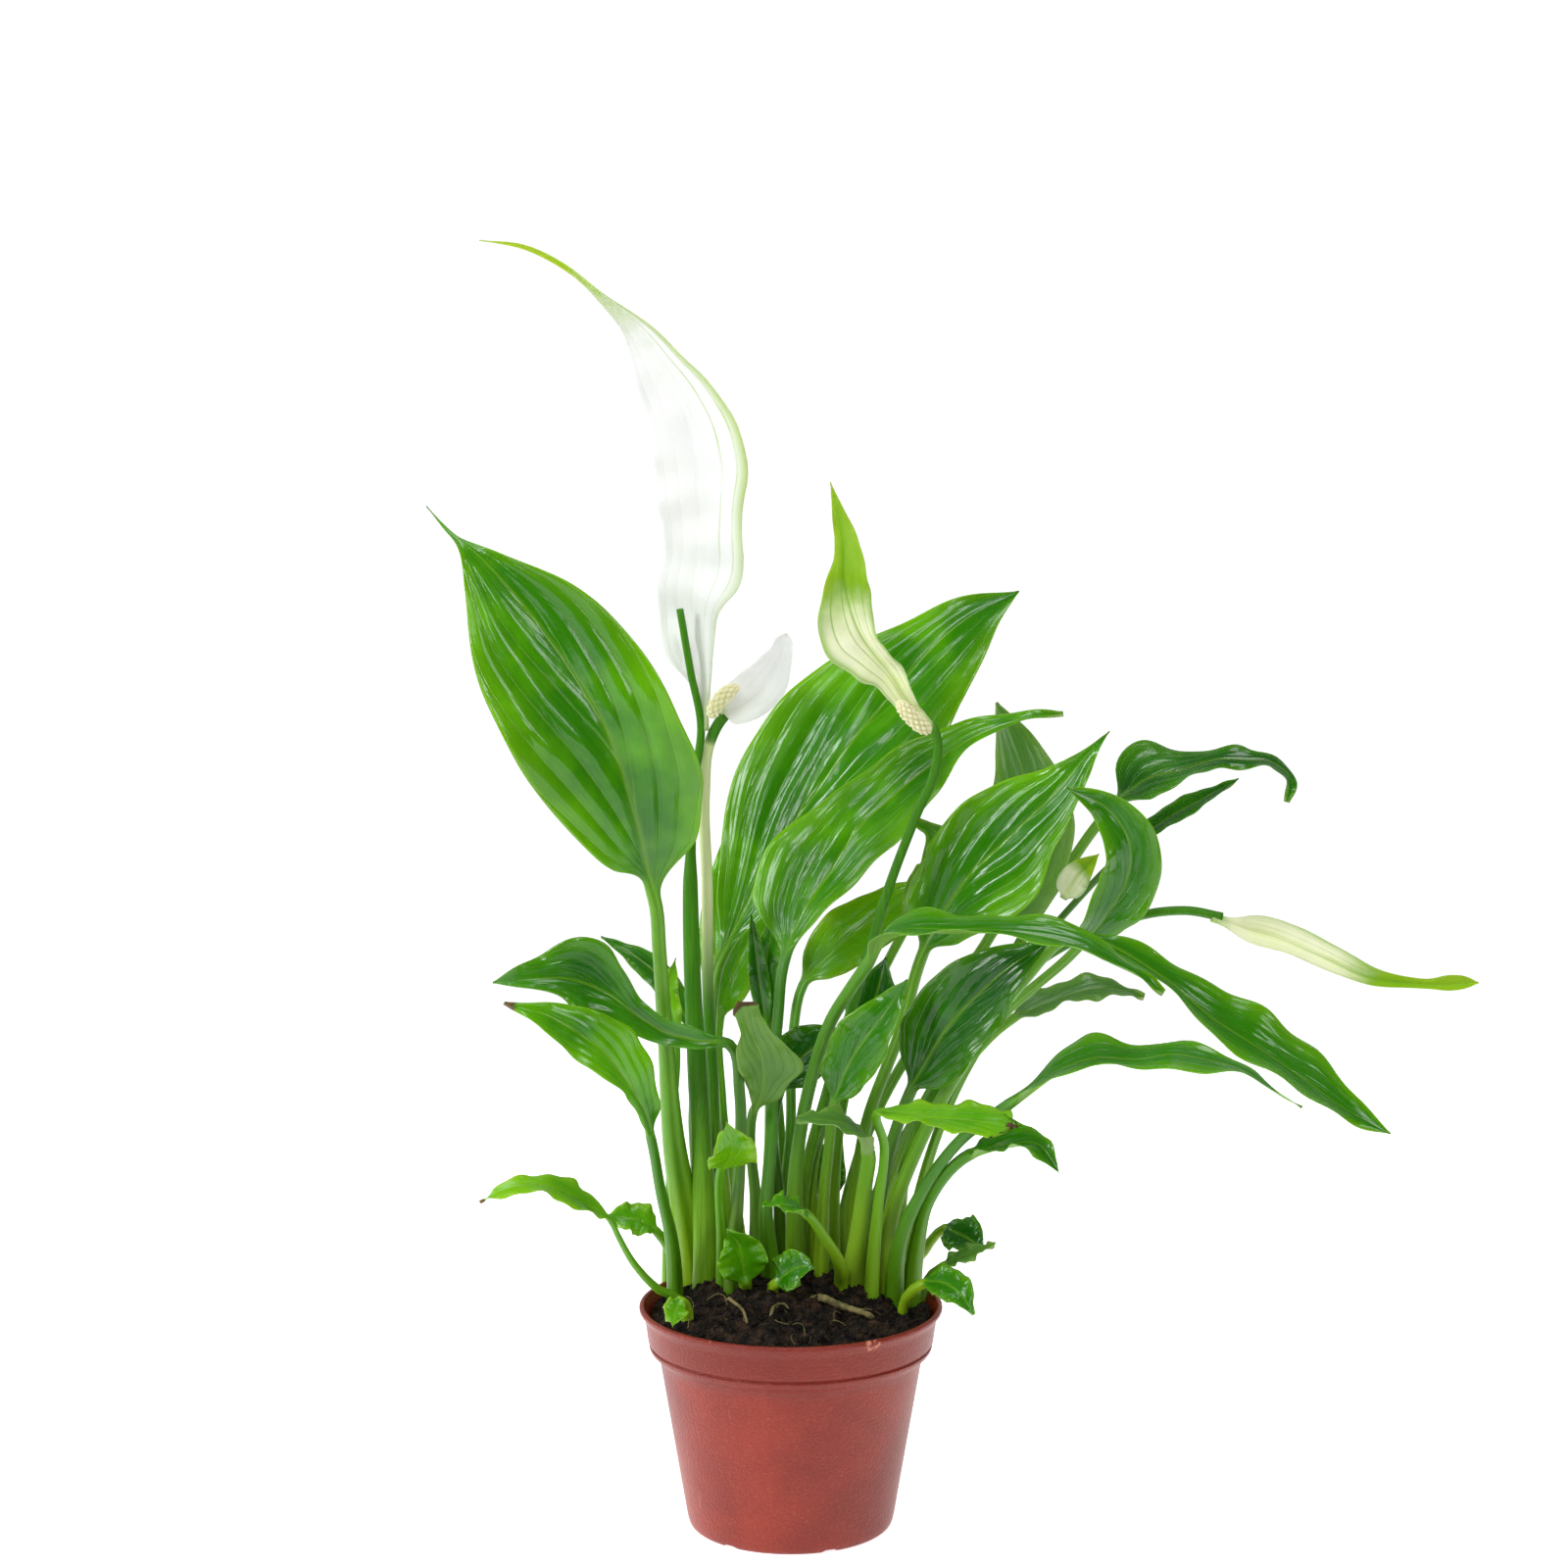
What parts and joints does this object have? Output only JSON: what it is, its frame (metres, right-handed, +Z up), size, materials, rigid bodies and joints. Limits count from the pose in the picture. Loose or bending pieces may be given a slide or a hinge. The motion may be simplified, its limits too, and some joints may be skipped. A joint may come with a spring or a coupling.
{
  "type": "potted peace lily",
  "caption": "Peace lily with pointed arching leaves on long petioles and pale hooded flowers on upright stalks, growing in a round tapered nursery pot with a rolled rim.",
  "frame": {"origin": "centre of the pot's flat underside, on the surface it stands on", "axes": "+Z up along the pot's axis, +X to the right and -Y towards the front of the plant"},
  "size_m": [0.4085, 0.2247, 0.5076],
  "materials": {
    "terracotta_plastic": "satin moulded terracotta-coloured plastic with a fine pebbled grain",
    "potting_soil": null,
    "root_tan": "pale dry root",
    "leaf_green": null,
    "leaf_deep": null,
    "leaf_olive": null,
    "leaf_grey": null,
    "stalk_green": null,
    "spathe_white": null,
    "spathe_cream": null,
    "spadix_cream": null
  },
  "bodies": {
    "root": {"pot": "terracotta_plastic", "soil": "potting_soil", "leaf_left_broad": "leaf_green", "leaf_centre_tall": "leaf_green", "leaf_centre_glossy": "leaf_green", "leaf_right_upright": "leaf_green", "leaf_back_pale": "leaf_grey", "leaf_right_wavy": "leaf_deep", "leaf_right_narrow": "leaf_deep", "leaf_olive_hooked": "leaf_olive", "leaf_centre_arching": "leaf_green", "leaf_right_drooping": "leaf_green", "leaf_right_lower": "leaf_green", "leaf_right_back": "leaf_grey", "leaf_front_torn": "leaf_olive", "leaf_front_grey": "leaf_grey", "leaf_right_folded": "leaf_green", "leaf_left_folded": "leaf_deep", "leaf_left_lower": "leaf_olive", "leaf_hanging_grey": "leaf_grey", "leaf_middle_dark": "leaf_deep", "leaf_middle_mid": "leaf_green", "leaf_middle_broad": "leaf_deep", "leaf_middle_shade": "leaf_deep", "leaf_olive_behind": "leaf_olive", "leaf_back_yellow": "leaf_olive", "leaf_back_spear": "leaf_deep", "leaf_back_green": "leaf_green", "leaf_centre_hook": "leaf_olive", "leaf_front_small": "leaf_olive", "leaf_front_tongue": "leaf_green", "leaf_base_upright": "leaf_green", "leaf_base_flat": "leaf_green", "leaf_left_low": "leaf_green", "leaf_left_stub": "leaf_deep", "leaf_left_scrap": "leaf_olive", "leaf_right_dark_low": "leaf_deep", "leaf_right_thin": "leaf_grey", "leaf_right_rim": "leaf_green", "leaf_inner_lower": "leaf_deep", "leaf_left_inner": "leaf_deep", "leaf_left_curl": "leaf_olive", "leaf_back_strip": "leaf_green", "stalk_tall": "stalk_green", "stalk_horn": "stalk_green", "stalk_middle": "stalk_green", "stalk_bud": "stalk_green", "spathe_tall": "spathe_white", "spathe_horn": "spathe_white", "spathe_middle": "spathe_cream", "spathe_bud": "spathe_cream", "spathe_hidden": "spathe_cream", "spadix_horn": "spadix_cream", "spadix_middle": "spadix_cream", "rhizome": "root_tan", "root_left": "root_tan", "root_middle": "root_tan"}
  },
  "joints": []
}
